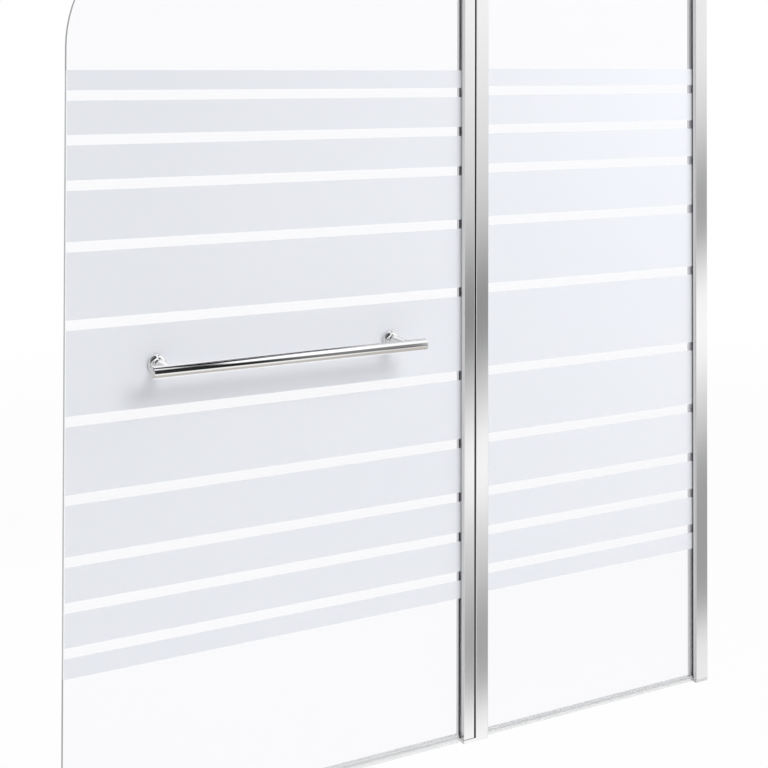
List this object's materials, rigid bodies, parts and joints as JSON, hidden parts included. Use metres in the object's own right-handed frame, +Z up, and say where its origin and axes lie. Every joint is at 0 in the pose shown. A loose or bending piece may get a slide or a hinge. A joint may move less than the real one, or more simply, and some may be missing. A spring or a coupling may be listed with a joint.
{
  "type": "bath shower screen",
  "caption": "Bath shower screen: a glass panel fixed to the wall by an adjustable profile and a glass swing door with a towel rail, hinged to it by flush profiles.",
  "frame": {"origin": "on the back of the wall profile, where it meets the wall, at its middle screw hole, half way up", "axes": "+X towards the wall, -X along the screen to the free edge of the door, +Y towards the bath, -Y towards the room and the towel rail, +Z up"},
  "size_m": [1.25, 0.0925, 1.4],
  "materials": {
    "profile": "bright polished, reflecting soft vertical bands of light and grey",
    "bracket": "bright polished",
    "end_cap": "light silver grey, smooth",
    "cover": "silver grey, smooth",
    "rail": "bright polished",
    "door_glass": "clear toughened glass with etched satin bands and clear stripes between them",
    "fixed_glass": "clear toughened glass with etched satin bands and clear stripes between them",
    "gasket": "black, matt",
    "front_gasket": "grey, matt",
    "gap_strip": "black, matt",
    "bottom_seal": "soft translucent, milky",
    "washer": "soft translucent, milky",
    "sleeve": "white, matt",
    "bush": "white, matt",
    "pin": "ground stainless steel",
    "screw": "stainless steel",
    "grub_screw": "dark stainless steel"
  },
  "bodies": {
    "fixed_part": {"wall_profile": "profile", "wall_cap_top": "end_cap", "wall_cap_bottom": "end_cap", "glass_channel": "profile", "adjust_screws": "screw", "screw_covers": "cover", "wall_gasket_front": "front_gasket", "wall_gasket_back": "gasket", "fixed_glass": "fixed_glass", "fixed_bottom_seal": "bottom_seal", "fixed_hinge_profile": "profile", "post_gasket_front": "front_gasket", "post_gasket_back": "gasket", "gap_strip": "gap_strip", "pivot_bracket_top": "bracket", "pivot_bracket_bottom": "bracket", "bracket_screws": "screw", "hinge_pin_top": "pin", "hinge_pin_bottom": "pin"},
    "door": {"door_hinge_profile": "profile", "hinge_bush_top": "bush", "hinge_bush_bottom": "bush", "door_gasket_front": "front_gasket", "door_gasket_back": "gasket", "door_glass": "door_glass", "door_bottom_seal": "bottom_seal", "rail_bar": "rail", "rail_end_plug_left": "rail", "rail_end_plug_right": "rail", "rail_post_left": "rail", "rail_post_right": "rail", "rail_rosette_left": "rail", "rail_rosette_right": "rail", "rail_front_washers": "washer", "rail_glass_sleeves": "sleeve", "rail_back_washers": "washer", "rail_clamp_discs": "rail", "rail_bolts": "screw", "rail_grub_screws": "grub_screw"}
  },
  "joints": [
    {"name": "door_swing", "type": "hinge", "parent": "fixed_part", "child": "door", "pos_m": [-0.525, 0.0095, 0], "axis": [0, 0, -1], "range_deg": [0, 130]}
  ]
}
